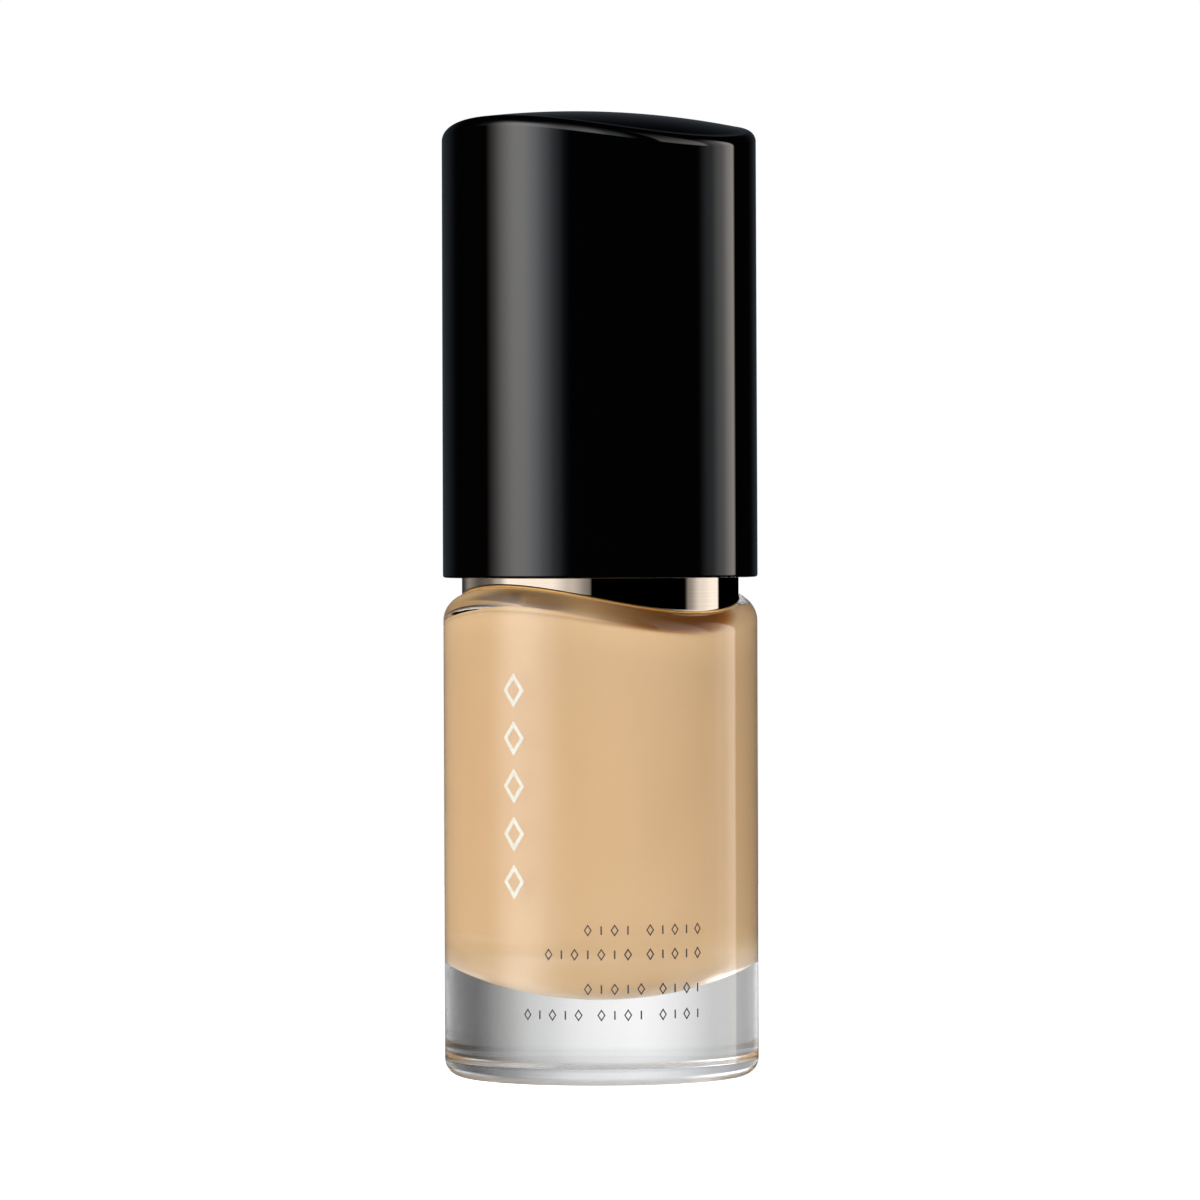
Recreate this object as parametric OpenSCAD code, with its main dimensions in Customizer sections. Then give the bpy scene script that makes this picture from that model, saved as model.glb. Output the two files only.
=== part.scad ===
// Foundation bottle: a thick glass bottle with a push-on pump under a tall pull-off cap.
// Millimetres, +Z up, the bottle stands on z = 0 on its own axis, and its front faces -Y.
// The glass shoulder and the cap's top carry the same swirl, a wave that is high at the
// front left and back right and low at the front right and back left.

/* [Glass bottle] */
// Outside diameter of the glass
glass_d = 37; // [36.6:0.1:37.4]
// Thickness of the glass wall
glass_wall = 2.8; // [2.5:0.1:3.1]
// Thickness of the solid glass base at its middle
base_thickness = 9.3; // [8:0.1:10.5]
// Height of the shoulder, halfway up its wave
shoulder_z = 56.1; // [55.5:0.1:56.3]
// Rise and fall of the shoulder's wave
shoulder_wave = 1.55; // [0.5:0.05:1.7]
// Height of the neck's rim
neck_top_z = 64; // [63.9:0.1:64.2]

/* [Cap] */
// Height of the cap's lower edge
cap_z = 58.7; // [58.5:0.1:58.9]
// Height where the cap's straight wall ends, halfway up its wave
cap_wall_z = 110; // [109.5:0.05:113.6]
// Rise and fall of the wave round the cap's top edge
cap_wave = 1.23; // [0.4:0.01:1.6]
// Height of the crown in the middle of the cap's top
cap_crown = 2.2; // [1:0.1:3]
// Rounding of the cap's top edge
cap_edge_round = 1.25; // [0.6:0.05:1.4]

/* [Collar] */
// Outside diameter of the metal collar
collar_d = 32.6; // [32.4:0.1:32.6]
// Height of the collar's top
collar_top_z = 69.2; // [69.1:0.1:69.3]

/* [Pump] */
// Travel of the pump head
stroke = 4; // [3:0.1:4]
// Outside diameter of the pump head
head_d = 19.2; // [18.6:0.1:19.6]
// Height of the pump head's top at rest
head_top_z = 94; // [92:0.1:95]
// Reach of the nozzle from the pump's axis
nozzle_reach = 13.6; // [12.5:0.1:13.8]

/* [Hidden] */
$fn = 96;
eps = 0.01;
far = 60;                    // larger than anything it cuts
wave_steps = 72;             // points round each waved ring
gap = 0.05;                  // room between the liquid and what holds it
slip = 0.1;                  // room between parts that slide

// Glass
glass_r = glass_d / 2;
base_round = 2.1;
shoulder_round = 2.5;
rest_ring_r = 14;            // inside edge of the ring that the bottle stands on
punt_h = 0.8;                // height of the hollow under the base
punt_r = (rest_ring_r ^ 2 + punt_h ^ 2) / (2 * punt_h);
cavity_r = glass_r - glass_wall;
bowl_r = 22.5;               // radius of the cavity's bowl-shaped floor
bowl_corner = 4;             // rounding between the bowl and the wall
ceiling_z = shoulder_z - 2.35;
ceiling_wave = shoulder_wave * 0.92;
ceiling_round = 0.9;
neck_r = 8.8;
neck_bore_r = 6.5;
bead_r = 9.9;
bead_h = 3.4;
fill_z = 58;                 // height of the liquid in the neck

// Pump body
housing_r = 5;
chamber_r = 4.2;
flange_r = 8.6;
gasket_t = 1;
flange_z = neck_top_z + gasket_t;
flange_t = 1.2;
plate_z = flange_z + flange_t;
ball_seat_z = 41;
ball_seat_r = 1.1;
ball_bore_r = 1.9;
ball_r = 1.6;
ball_z = 42.37;
spring_z = 45.2;             // ledge that carries the spring
socket_z = 33;
socket_depth = 6.5;
tube_r = 1.75;
tube_bore_r = 1.15;
tube_end_z = base_thickness + 1.6;
tower_r = 7.3;
tower_bore_r = 6.3;
tower_top_z = 76;

// Moving parts of the pump
stem_r = 2.2;
stem_bore_r = 1.2;
stem_top_z = 83;
stem_head_z = 54.5;
stem_head_r = 3.5;
piston_z = 56.5;
piston_h = 3.8;
stem_ring_z = 60.6;
guide_z = 61.5;
wire_r = 0.28;
coil_r = 3;
coils = 7;

// Pump head
head_r = head_d / 2;
head_wall = 0.9;
head_z = 73.5;               // lower edge of the head's skirt
nozzle_z = 87.5;
channel_r = 1.2;
tip_l = 1.6;                 // length of the tip that stands out of the spout

// Collar
collar_r = collar_d / 2;
collar_wall = 0.5;
hub_r = 11;

// Cap
cap_r = glass_r + 0.05;      // at the lower edge; the wall has a little draft
cap_top_r = glass_r;
shell_bore_r = 17.35;
shell_ceiling_z = cap_wall_z - 3;
liner_ceiling_z = 100;
liner_step_z = collar_top_z + slip;
weight_t = 4.6;
boss_r = 2.9;

// ---- Shared shapes ----

// A ring of points whose height rises and falls twice round the axis.
function waved_ring(r, z, wave) = [
    for (i = [0:wave_steps - 1])
        let (t = i * 360 / wave_steps)
        [r * cos(t), r * sin(t), z + wave * sin(2 * t)]
];

// A closed solid through a stack of such rings, each given as [radius, height, wave].
// The first and last rings are level. The stack runs up the outside of the solid.
module ring_stack(rings) {
    n = wave_steps;
    m = len(rings);
    points = [for (ring = rings) each waved_ring(ring[0], ring[1], ring[2])];
    faces = [
        for (k = [0:m - 2])
            for (i = [0:n - 1])
                let (a = k * n + i, b = k * n + (i + 1) % n, c = a + n, d = b + n)
                each [[a, d, b], [a, c, d]],
        [for (i = [0:n - 1]) i],
        [for (i = [n - 1:-1:0]) (m - 1) * n + i],
    ];
    polyhedron(points = points, faces = faces);
}

// Everything above a waved top: what is cut off a plain cylinder to leave that top.
// A rounding of radius f joins the cylinder's wall to the top; it starts a little off the
// wall, so that it cuts the wall cleanly. Inside it the wave fades and the crown rises.
module above_waved_top(r, z, f, wave, crown, top) {
    inner = r - f;
    first = 12;
    rings = 7;
    ring_stack([
        for (k = [1:rings - 1])
            let (s = (k / rings) ^ 2)
            [inner * k / rings, z + crown * (1 - s), k == 1 ? 0 : wave * s],
        for (a = [90:-13:first]) [r - f * (1 - cos(a)), z - f * (1 - sin(a)), wave],
        [r - f * (1 - cos(first)) + 2 * tan(first / 2), z - f * (1 - sin(first)) - 2, wave],
        [r + 2, top, 0],
        [inner / rings, top, 0],
    ]);
}

// A ring about Z between two radii.
module tube(r_in, r_out, z, h) {
    difference() {
        translate([0, 0, z]) cylinder(r = r_out, h = h);
        translate([0, 0, z - eps]) cylinder(r = r_in, h = h + 2 * eps);
    }
}

// A solid turned from an outline of [radius, height] points.
module turned(points) {
    rotate_extrude() polygon(points);
}

// ---- Glass bottle ----

// Space that the glass encloses, drawn in by an amount all over.
module cavity(inset, top) {
    r = cavity_r - inset;
    bowl = bowl_r - inset;
    bowl_z = base_thickness + bowl_r;
    corner_x = r - bowl_corner;
    corner_drop = sqrt((bowl - bowl_corner) ^ 2 - corner_x ^ 2);
    corner_z = bowl_z - corner_drop;
    touch_x = corner_x * bowl / (bowl - bowl_corner);
    difference() {
        rotate_extrude() {
            intersection() {
                translate([0, bowl_z]) circle(r = bowl, $fn = 192);
                square([touch_x, bowl_z]);
            }
            translate([corner_x, corner_z]) circle(r = bowl_corner);
            translate([0, corner_z]) square([r, ceiling_z + 3 - corner_z]);
        }
        above_waved_top(r, ceiling_z - inset, ceiling_round, ceiling_wave, 0, shoulder_z + 12);
    }
    translate([0, 0, ceiling_z - 5]) cylinder(r = neck_bore_r - inset, h = top - ceiling_z + 5);
}

module glass_body() {
    difference() {
        rotate_extrude() {
            square([glass_r - base_round, shoulder_z + 4]);
            translate([glass_r - base_round, base_round]) circle(r = base_round);
            translate([0, base_round]) square([glass_r, shoulder_z + 4 - base_round]);
        }
        above_waved_top(glass_r, shoulder_z, shoulder_round, shoulder_wave, 0, shoulder_z + 8);
        translate([0, 0, punt_h - punt_r]) sphere(r = punt_r, $fn = 240);
    }
}

module neck() {
    turned([
        [0, shoulder_z - 4],
        [neck_r, shoulder_z - 4],
        [neck_r, neck_top_z - bead_h - 0.6],
        [bead_r, neck_top_z - bead_h],
        [bead_r, neck_top_z - 1],
        [bead_r - 1, neck_top_z],
        [0, neck_top_z],
    ]);
}

module glass_bottle() {
    color([0.92, 0.94, 0.93, 0.4])
        difference() {
            union() {
                glass_body();
                neck();
            }
            cavity(0, neck_top_z + 1);
        }
}

module foundation_liquid() {
    color([0.84, 0.68, 0.49])
        difference() {
            intersection() {
                cavity(gap, neck_top_z + 1);
                cylinder(r = glass_r, h = fill_z);
            }
            housing_outline(gap);
            cylinder(r = tube_r + gap, h = socket_z + 1);
        }
}

// Blank round label in the hollow of the base
module base_label() {
    label_r = 9;
    label_t = 0.12;
    color("white")
        translate([0, 0, punt_h - 0.45]) cylinder(r = label_r, h = label_t);
}

// ---- Pump, fixed parts ----

module housing_outline(grow) {
    turned([
        [0, socket_z - grow],
        [3 + grow, socket_z - grow],
        [3 + grow, ball_seat_z],
        [housing_r + grow, spring_z - 1.2],
        [housing_r + grow, flange_z],
        [0, flange_z],
    ]);
}

module pump_housing() {
    claw = 0.9;
    claw_h = 0.5;
    color("whitesmoke") {
        difference() {
            union() {
                housing_outline(0);
                translate([0, 0, flange_z]) cylinder(r = flange_r, h = flange_t);
            }
            translate([0, 0, socket_z - eps]) cylinder(r = tube_r, h = socket_depth + eps);
            turned([
                [0, socket_z + socket_depth - eps],
                [ball_seat_r, socket_z + socket_depth - eps],
                [ball_seat_r, ball_seat_z],
                [ball_bore_r, ball_seat_z + 1.45],
                [ball_bore_r, spring_z],
                [0, spring_z],
            ]);
            translate([0, 0, spring_z - eps]) cylinder(r = chamber_r, h = plate_z - spring_z + 1);
        }
        // three claws that keep the ball in its seat
        for (a = [60, 180, 300])
            rotate([0, 0, a])
                translate([1.25, -claw / 2, spring_z - 0.6]) cube([claw, claw, claw_h]);
    }
}

module dip_tube() {
    cutter = 10;
    slant = 35;
    color([0.95, 0.95, 0.93])
        difference() {
            tube(tube_bore_r, tube_r, tube_end_z, socket_z + socket_depth - slip - tube_end_z);
            // the lower end is cut at a slant, so that it can't seal itself on the glass
            translate([0, 0, tube_end_z - 0.6])
                rotate([0, slant, 0])
                    translate([-cutter / 2, -cutter / 2, -cutter]) cube(cutter);
        }
}

module neck_gasket() {
    color("gainsboro") tube(neck_bore_r + 0.3, bead_r - 1.2, neck_top_z, gasket_t);
}

// Wire of the return spring, as a tube swept along a helix with closed end turns
module return_spring() {
    sides = 8;
    per_turn = 20;
    height = stem_head_z - spring_z - 2 * wire_r - 0.06;
    count = coils * per_turn;
    // height of the wire's middle after a number of turns: flat for the first and last turn
    function rise(turn) =
        let (open = coils - 2)
        turn < 1 ? 2 * wire_r * turn
        : turn > coils - 1 ? height - 2 * wire_r * (coils - turn)
        : 2 * wire_r + (height - 4 * wire_r) * (turn - 1) / open;
    points = [
        for (i = [0:count])
            let (turn = i / per_turn, a = 360 * turn, z = spring_z + wire_r + 0.03 + rise(turn))
            for (s = [0:sides - 1])
                let (b = 360 * s / sides, r = coil_r + wire_r * cos(b))
                [r * cos(a), r * sin(a), z + wire_r * sin(b)]
    ];
    faces = [
        for (i = [0:count - 1])
            for (s = [0:sides - 1])
                let (
                    a = i * sides + s,
                    b = i * sides + (s + 1) % sides,
                    c = a + sides,
                    d = b + sides
                )
                each [[a, b, d], [a, d, c]],
        [for (s = [sides - 1:-1:0]) s],
        [for (s = [0:sides - 1]) count * sides + s],
    ];
    color("silver") polyhedron(points = points, faces = faces);
}

module stem_guide() {
    lip_t = 1;
    height = plate_z - guide_z;
    color("white")
        difference() {
            union() {
                translate([0, 0, guide_z]) cylinder(r = chamber_r - gap, h = height);
                translate([0, 0, plate_z]) cylinder(r = tower_bore_r - slip, h = lip_t);
            }
            translate([0, 0, guide_z - eps]) cylinder(r = stem_r + slip, h = height + lip_t + 2 * eps);
        }
}

// Closure whose slit fingers snap under the neck's bead
module snap_closure() {
    skirt_r = 10.9;
    skirt_z = 57.7;
    top_t = 1.2;
    slit = 0.8;
    color("white")
        difference() {
            union() {
                turned([
                    [neck_r + 0.25, skirt_z],
                    [skirt_r, skirt_z],
                    [skirt_r, plate_z + top_t],
                    [tower_bore_r, plate_z + top_t],
                    [tower_bore_r, plate_z],
                    [bead_r + slip, plate_z],
                    [bead_r + slip, neck_top_z - bead_h - 0.2],
                    [neck_r + 0.25, neck_top_z - bead_h - 1.1],
                ]);
                tube(tower_bore_r, tower_r, plate_z, tower_top_z - plate_z);
            }
            for (a = [0:45:315])
                rotate([0, 0, a])
                    translate([neck_r - 1, -slit / 2, skirt_z - 1]) cube([4, slit, neck_top_z - skirt_z]);
        }
}

// ---- Collar ----

// Plastic carrier that slides over the closure and locks its fingers
module collar_core() {
    plate_t = 1.1;
    skirt_t = 0.9;
    skirt_z = 58.2;
    rib_t = 0.8;
    lug = [3, 1.6, 1.6];
    outer_r = collar_r - collar_wall;
    top = collar_top_z - collar_wall;
    skirt_h = top - skirt_z - eps;
    color("dimgray") {
        tube(tower_r + slip, outer_r, top - plate_t, plate_t);
        tube(hub_r, hub_r + skirt_t, skirt_z, skirt_h);
        tube(outer_r - skirt_t, outer_r, skirt_z, skirt_h);
        for (a = [0:60:300])
            rotate([0, 0, a])
                translate([hub_r + 0.5, -rib_t / 2, skirt_z + 1])
                    cube([outer_r - hub_r - 1, rib_t, skirt_h - 1]);
        // lug that lines the cap up with the bottle
        translate([-lug.x / 2, 12.2, top - eps]) cube(lug);
    }
}

module collar_sleeve() {
    round = 0.4;
    bottom = shoulder_z - shoulder_wave - 1;
    color([0.83, 0.72, 0.58])
        difference() {
            turned([
                [collar_r - collar_wall, bottom],
                [collar_r, bottom],
                [collar_r, collar_top_z - round],
                [collar_r - round * (1 - cos(45)), collar_top_z - round * (1 - sin(45))],
                [collar_r - round, collar_top_z],
                [collar_r - 1.8, collar_top_z],
                [collar_r - 1.8, collar_top_z - collar_wall],
                [collar_r - collar_wall, collar_top_z - collar_wall],
            ]);
            // the lower edge follows the glass shoulder
            ring_stack([
                [collar_r + 1, bottom - 2, 0],
                [collar_r + 1, shoulder_z + gap, shoulder_wave],
                [collar_r - 2, shoulder_z + gap, shoulder_wave],
                [1, shoulder_z + gap, 0],
            ]);
        }
}

// ---- Pump, moving parts ----

module inlet_ball() {
    color("silver") translate([0, 0, ball_z]) sphere(r = ball_r);
}

module piston() {
    lip_r = chamber_r - 0.04;
    waist_r = chamber_r - 0.5;
    bore_r = stem_r + 0.04;
    top = piston_z + piston_h;
    color("ivory")
        turned([
            [bore_r, piston_z + 0.5],
            [bore_r + 0.7, piston_z + 0.5],
            [lip_r - 0.35, piston_z],
            [lip_r, piston_z],
            [lip_r, piston_z + 0.5],
            [waist_r, piston_z + 1.2],
            [waist_r, top - 1.2],
            [lip_r, top - 0.5],
            [lip_r, top],
            [lip_r - 0.35, top],
            [bore_r + 0.7, top - 0.8],
            [bore_r, top - 0.8],
        ]);
}

module pump_stem() {
    color("white")
        difference() {
            turned([
                [0, stem_head_z - 1.5],
                [stem_r, stem_head_z - 1.5],
                [stem_r, stem_head_z],
                [stem_head_r, stem_head_z],
                [stem_head_r, stem_head_z + 1.2],
                [stem_r, stem_head_z + 1.7],
                [stem_r, stem_ring_z],
                [stem_r + 0.9, stem_ring_z],
                [stem_r + 0.9, stem_ring_z + 0.7],
                [stem_r, stem_ring_z + 0.7],
                [stem_r, stem_top_z],
                [0, stem_top_z],
            ]);
            translate([0, 0, piston_z + 1]) cylinder(r = stem_bore_r, h = stem_top_z);
            // side ports that the piston covers at rest
            translate([-far, 0, piston_z + 2]) rotate([0, 90, 0]) cylinder(r = 0.5, h = 2 * far);
        }
}

// Lays what it is given along the nozzle, from the pump's axis towards +X
module along_nozzle() {
    translate([0, 0, nozzle_z]) rotate([0, 90, 0]) children();
}

module head_core() {
    hub = 4;
    spout_r = 2.2;
    web_t = 1.2;
    rib = [head_r - head_wall - slip - hub + 0.4, 0.8, 9];
    hub_z = tower_top_z + 0.5;
    color([0.08, 0.08, 0.09])
        difference() {
            union() {
                translate([0, 0, hub_z]) cylinder(r = hub, h = nozzle_z + 3 - hub_z);
                along_nozzle() cylinder(r = spout_r, h = nozzle_reach - tip_l);
                // web under the top of the shell
                translate([0, 0, nozzle_z + 2.5]) cylinder(r = head_r - head_wall - slip, h = web_t);
                for (a = [45:90:315])
                    rotate([0, 0, a])
                        translate([hub - 0.5, -rib.y / 2, nozzle_z - 6]) cube(rib);
            }
            translate([0, 0, tower_top_z]) cylinder(r = stem_r, h = stem_top_z - tower_top_z);
            cylinder(r = stem_bore_r, h = nozzle_z);
            along_nozzle() cylinder(r = channel_r, h = far);
            translate([0, 0, nozzle_z]) sphere(r = channel_r);
        }
}

module nozzle_tip() {
    plug_l = 2;
    plug_x = nozzle_reach - tip_l - plug_l + 0.2;
    color([0.08, 0.08, 0.09])
        along_nozzle()
            difference() {
                union() {
                    translate([0, 0, plug_x]) cylinder(r = channel_r, h = plug_l);
                    translate([0, 0, nozzle_reach - tip_l]) cylinder(r1 = 2.2, r2 = 1.5, h = tip_l);
                }
                cylinder(r = 0.6, h = far);
            }
}

module head_shell() {
    dish_r = 26;
    dish = 1;
    round = 1.2;
    color([0.03, 0.03, 0.035])
        difference() {
            rotate_extrude() {
                translate([0, head_z]) square([head_r, head_top_z - round - head_z]);
                translate([0, head_z]) square([head_r - round, head_top_z - head_z]);
                translate([head_r - round, head_top_z - round]) circle(r = round);
            }
            translate([0, 0, head_z - eps])
                cylinder(r = head_r - head_wall, h = nozzle_z + 3.8 - head_z);
            translate([0, 0, head_top_z + dish_r - dish]) sphere(r = dish_r, $fn = 144);
            along_nozzle() cylinder(r = 2.3, h = far);
        }
}

// ---- Cap ----

module cap_shell() {
    foot = 0.3;
    top = cap_wall_z + 8;
    color([0.02, 0.02, 0.025])
        difference() {
            turned([
                [0, cap_z],
                [cap_r - foot, cap_z],
                [cap_r, cap_z + foot],
                [cap_top_r, cap_wall_z - cap_wave - cap_edge_round - 2],
                [cap_top_r, top],
                [0, top],
            ]);
            above_waved_top(
                cap_top_r, cap_wall_z + cap_edge_round, cap_edge_round, cap_wave, cap_crown, top + 1
            );
            difference() {
                translate([0, 0, cap_z - eps]) cylinder(r = shell_bore_r, h = shell_ceiling_z - cap_z);
                translate([0, 0, shell_ceiling_z - weight_t - 0.6]) cylinder(r = boss_r, h = far);
            }
        }
}

// Inner cup: its wide mouth slides over the collar and its narrow part clears the pump head
module cap_liner() {
    mouth_r = collar_r + 0.12;
    wide_r = shell_bore_r - gap;
    narrow_r = 15.6;
    wall = 0.8;
    rib_t = 1;
    key = [0.8, 3.4, 8];
    mouth_z = cap_z + 0.2;
    narrow_h = liner_ceiling_z + 1 - liner_step_z;
    color([0.12, 0.12, 0.13]) {
        difference() {
            union() {
                translate([0, 0, mouth_z]) cylinder(r = wide_r, h = liner_step_z + 1.1 - mouth_z);
                translate([0, 0, liner_step_z]) cylinder(r = narrow_r + wall, h = narrow_h);
                for (a = [15:60:315])
                    rotate([0, 0, a])
                        translate([narrow_r + 0.4, -rib_t / 2, liner_step_z + 1])
                            cube([wide_r - narrow_r - 0.6, rib_t, narrow_h - 1.4]);
            }
            translate([0, 0, cap_z]) cylinder(r = mouth_r, h = liner_step_z - cap_z);
            translate([0, 0, cap_z]) cylinder(r = narrow_r, h = liner_ceiling_z - cap_z);
        }
        // pair of ribs that straddle the collar's lug
        for (side = [-1, 1])
            translate([side * 2.3 - key.x / 2, 12.6, liner_step_z + 0.1]) cube(key);
    }
}

// Steel disc that gives the cap its weight, held on the shell's boss
module cap_weight() {
    weight_r = 15.4;
    color("darkgray")
        tube(boss_r + slip, weight_r, shell_ceiling_z - weight_t - gap, weight_t);
}

glass_bottle();
foundation_liquid();
neck_gasket();
pump_housing();
dip_tube();
return_spring();
stem_guide();
snap_closure();
collar_core();
collar_sleeve();
base_label();
inlet_ball();
piston();
pump_stem();
head_core();
head_shell();
nozzle_tip();
cap_shell();
cap_liner();
cap_weight();
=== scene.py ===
from math import acos, atan2, cos, pi, radians, sin, sqrt

import bmesh
import bpy
from mathutils import Matrix, Vector


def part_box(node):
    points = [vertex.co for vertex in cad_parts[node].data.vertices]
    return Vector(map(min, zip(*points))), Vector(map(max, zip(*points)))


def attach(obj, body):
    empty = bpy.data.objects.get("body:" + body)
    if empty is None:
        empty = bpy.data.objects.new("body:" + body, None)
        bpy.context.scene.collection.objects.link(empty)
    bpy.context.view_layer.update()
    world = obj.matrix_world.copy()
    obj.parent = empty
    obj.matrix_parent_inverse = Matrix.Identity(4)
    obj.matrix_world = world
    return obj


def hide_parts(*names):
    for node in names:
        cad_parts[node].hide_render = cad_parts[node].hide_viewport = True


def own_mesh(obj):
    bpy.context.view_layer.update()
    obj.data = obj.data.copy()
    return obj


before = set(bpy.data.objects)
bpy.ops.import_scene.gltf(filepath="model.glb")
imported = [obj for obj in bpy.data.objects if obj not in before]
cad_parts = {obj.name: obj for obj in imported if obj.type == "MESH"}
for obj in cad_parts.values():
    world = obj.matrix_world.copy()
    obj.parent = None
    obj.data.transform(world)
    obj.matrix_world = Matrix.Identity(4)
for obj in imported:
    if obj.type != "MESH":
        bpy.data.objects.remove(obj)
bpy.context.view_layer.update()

# The studio: a long portrait lens just above the middle of the bottle, a pale table, and soft
# light from two tall side panels, a front panel that fades upwards and a dim glow behind.
SHOT_DISTANCE = 0.837
SHOT_HEIGHT = 0.0669
SHOT_AIM = 0.0560
SHOT_ROLL = radians(0.20)
LENS_MM = 213

camera = bpy.data.objects.new("camera", bpy.data.cameras.new("camera"))
bpy.context.collection.objects.link(camera)
camera.data.lens = LENS_MM
camera.data.sensor_width = 36
camera.data.clip_end = 10
camera.location = (0, -SHOT_DISTANCE, SHOT_HEIGHT)
down = atan2(SHOT_HEIGHT - SHOT_AIM, SHOT_DISTANCE)
camera.rotation_euler = (pi / 2 - down, SHOT_ROLL, 0)
bpy.context.scene.camera = camera
bpy.context.scene.view_settings.view_transform = "Standard"


def node(tree, kind, values=(), **settings):
    """A new node, with its inputs set or linked by name or number."""
    made = tree.nodes.new(kind)
    for name, value in settings.items():
        setattr(made, name, value)
    for key, value in dict(values).items():
        if isinstance(value, bpy.types.NodeSocket):
            tree.links.new(value, made.inputs[key])
        else:
            made.inputs[key].default_value = value
    return made


def calc(tree, operation, a, b=0.0, c=0.0):
    return node(tree, "ShaderNodeMath", {0: a, 1: b, 2: c}, operation=operation).outputs[0]


def mixed(tree, factor, a, b):
    """Colour a where factor is 0 and colour b where it is 1."""
    values = {"Factor": factor, "A": a, "B": b}
    return node(tree, "ShaderNodeMix", values, data_type="RGBA").outputs["Result"]


def ramp(tree, factor, stops, interpolation="EASE"):
    """A colour ramp through stops of (place, colour)."""
    made = node(tree, "ShaderNodeValToRGB", {"Fac": factor})
    made.color_ramp.interpolation = interpolation
    points = made.color_ramp.elements
    while len(points) < len(stops):
        points.new(0.5)
    for point, (place, colour) in zip(points, stops):
        point.position = place
        point.color = (*colour, 1)
    return made.outputs["Color"]


def fade(tree, value, low, high):
    """0 where value is at low and 1 where it is at high, smoothly between."""
    values = {"Value": value, "From Min": low, "From Max": high}
    return node(tree, "ShaderNodeMapRange", values, interpolation_type="SMOOTHSTEP").outputs["Result"]


def lit(tree, colour, strength):
    """A colour multiplied by a number or a socket."""
    return node(tree, "ShaderNodeVectorMath", {0: colour, "Scale": strength}, operation="SCALE").outputs[0]


def plus(tree, a, b):
    return node(tree, "ShaderNodeVectorMath", {0: a, 1: b}, operation="ADD").outputs[0]


def tint(level, warmth=0.0):
    """A grey of a given level, warmed or cooled a little."""
    return (level * (1 + warmth), level, level * (1 - warmth))


def panorama(tree, around, stops, interpolation="EASE"):
    """Greys round the bottle, through stops of (degrees, level, warmth), where the warmth may be
    left out. 0 degrees is the front, 90 the right side."""
    places = [(degrees / 360 + 0.5, tint(*grey)) for degrees, *grey in stops]
    return ramp(tree, around, places, interpolation)


BRIGHTEST = 4.0  # ramps hold colours up to 1, so they are stored as parts of this
world = bpy.data.worlds.new("studio")
bpy.context.scene.world = world
world.use_nodes = True
sky = world.node_tree
sky.nodes.clear()
direction = node(sky, "ShaderNodeTexCoord").outputs["Generated"]
axes = node(sky, "ShaderNodeSeparateXYZ", {0: direction})
turn = calc(sky, "ARCTAN2", axes.outputs["X"], calc(sky, "MULTIPLY", axes.outputs["Y"], -1))
around = calc(sky, "MULTIPLY_ADD", turn, 1 / (2 * pi), 0.5)
height = axes.outputs["Z"]

left_panel = panorama(sky, around, [
    (-102, 0.0),
    (-89, 0.035, 0.1),
    (-79, 0.38, 0.06),
    (-69, 0.83, 0.04),
    (-60, 0.99, 0.02),
    (-52, 0.86, -0.01),
    (-44, 0.56, -0.04),
    (-36, 0.26, -0.07),
    (-28, 0.07, -0.1),
    (-21, 0.0),
    (0, 0.0),
], "CARDINAL")
right_panel = panorama(sky, around, [
    (76, 0.0),
    (89, 0.108, -0.04),
    (100, 0.31, 0.02),
    (112, 0.64, 0.08),
    (116, 0.72, 0.1),
    (117.5, 0.0),
])
side_panels = plus(sky, left_panel, right_panel)
side_level = calc(sky, "MULTIPLY", fade(sky, height, -0.30, 0.08), fade(sky, height, 0.75, 0.35))
front_panel = panorama(sky, around, [
    (-110, 0.0),
    (-62, 0.10, -0.1),
    (-38, 0.34, 0.02),
    (-3, 0.55),
    (12, 0.24, -0.08),
    (32, 0.0),
    (44, 0.0),
    (48, 0.34, 0.08),
    (84, 0.5, 0.08),
    (90, 0.0),
])
front_level = calc(sky, "MULTIPLY", fade(sky, height, 0.08, 0.14), fade(sky, height, 0.98, 0.20))
behind = panorama(sky, around, [
    (-180, 0.017, -0.14),
    (-150, 0.014, -0.14),
    (-125, 0.0),
    (140, 0.0),
    (165, 0.013, -0.14),
    (180, 0.017, -0.14),
])
behind_level = calc(sky, "MULTIPLY", fade(sky, height, -0.30, 0.0), fade(sky, height, 0.50, 0.05))
studio = plus(sky, lit(sky, side_panels, side_level), lit(sky, front_panel, front_level))
studio = lit(sky, plus(sky, studio, lit(sky, behind, behind_level)), BRIGHTEST)
studio = plus(sky, studio, (0.002, 0.002, 0.003))

# What shows through the clear glass: a pale sweep round it, darker at the back right. Wings well
# above and below the horizon and a skylight brighten the cream but aren't seen in the base.
THROUGH_LEVEL = 2.0
through = panorama(sky, around, [
    (-180, 0.445),
    (-168, 0.46),
    (-151, 0.31),
    (-139, 0.235),
    (-120, 0.17),
    (-108, 0.34),
    (-95, 1.0),
    (-75, 0.94),
    (-50, 0.76),
    (0, 0.84),
    (40, 0.84),
    (70, 0.68),
    (88, 0.36),
    (104, 0.085),
    (136, 0.025),
    (147, 0.088),
    (158, 0.175),
    (170, 0.354),
    (180, 0.445),
], "CARDINAL")
wings = panorama(sky, around, [
    (-160, 0.0),
    (-140, 0.85),
    (-115, 0.85),
    (-95, 0.0),
    (100, 0.0),
    (112, 0.24),
    (138, 0.24),
    (150, 0.0),
])
steep = fade(sky, calc(sky, "ABSOLUTE", height), 0.24, 0.40)
skylight = lit(sky, (1.2, 1.2, 1.2), fade(sky, height, 0.55, 0.75))
wings = plus(sky, skylight, lit(sky, wings, calc(sky, "MULTIPLY", steep, BRIGHTEST)))
through = plus(sky, lit(sky, through, THROUGH_LEVEL), wings)

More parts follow.
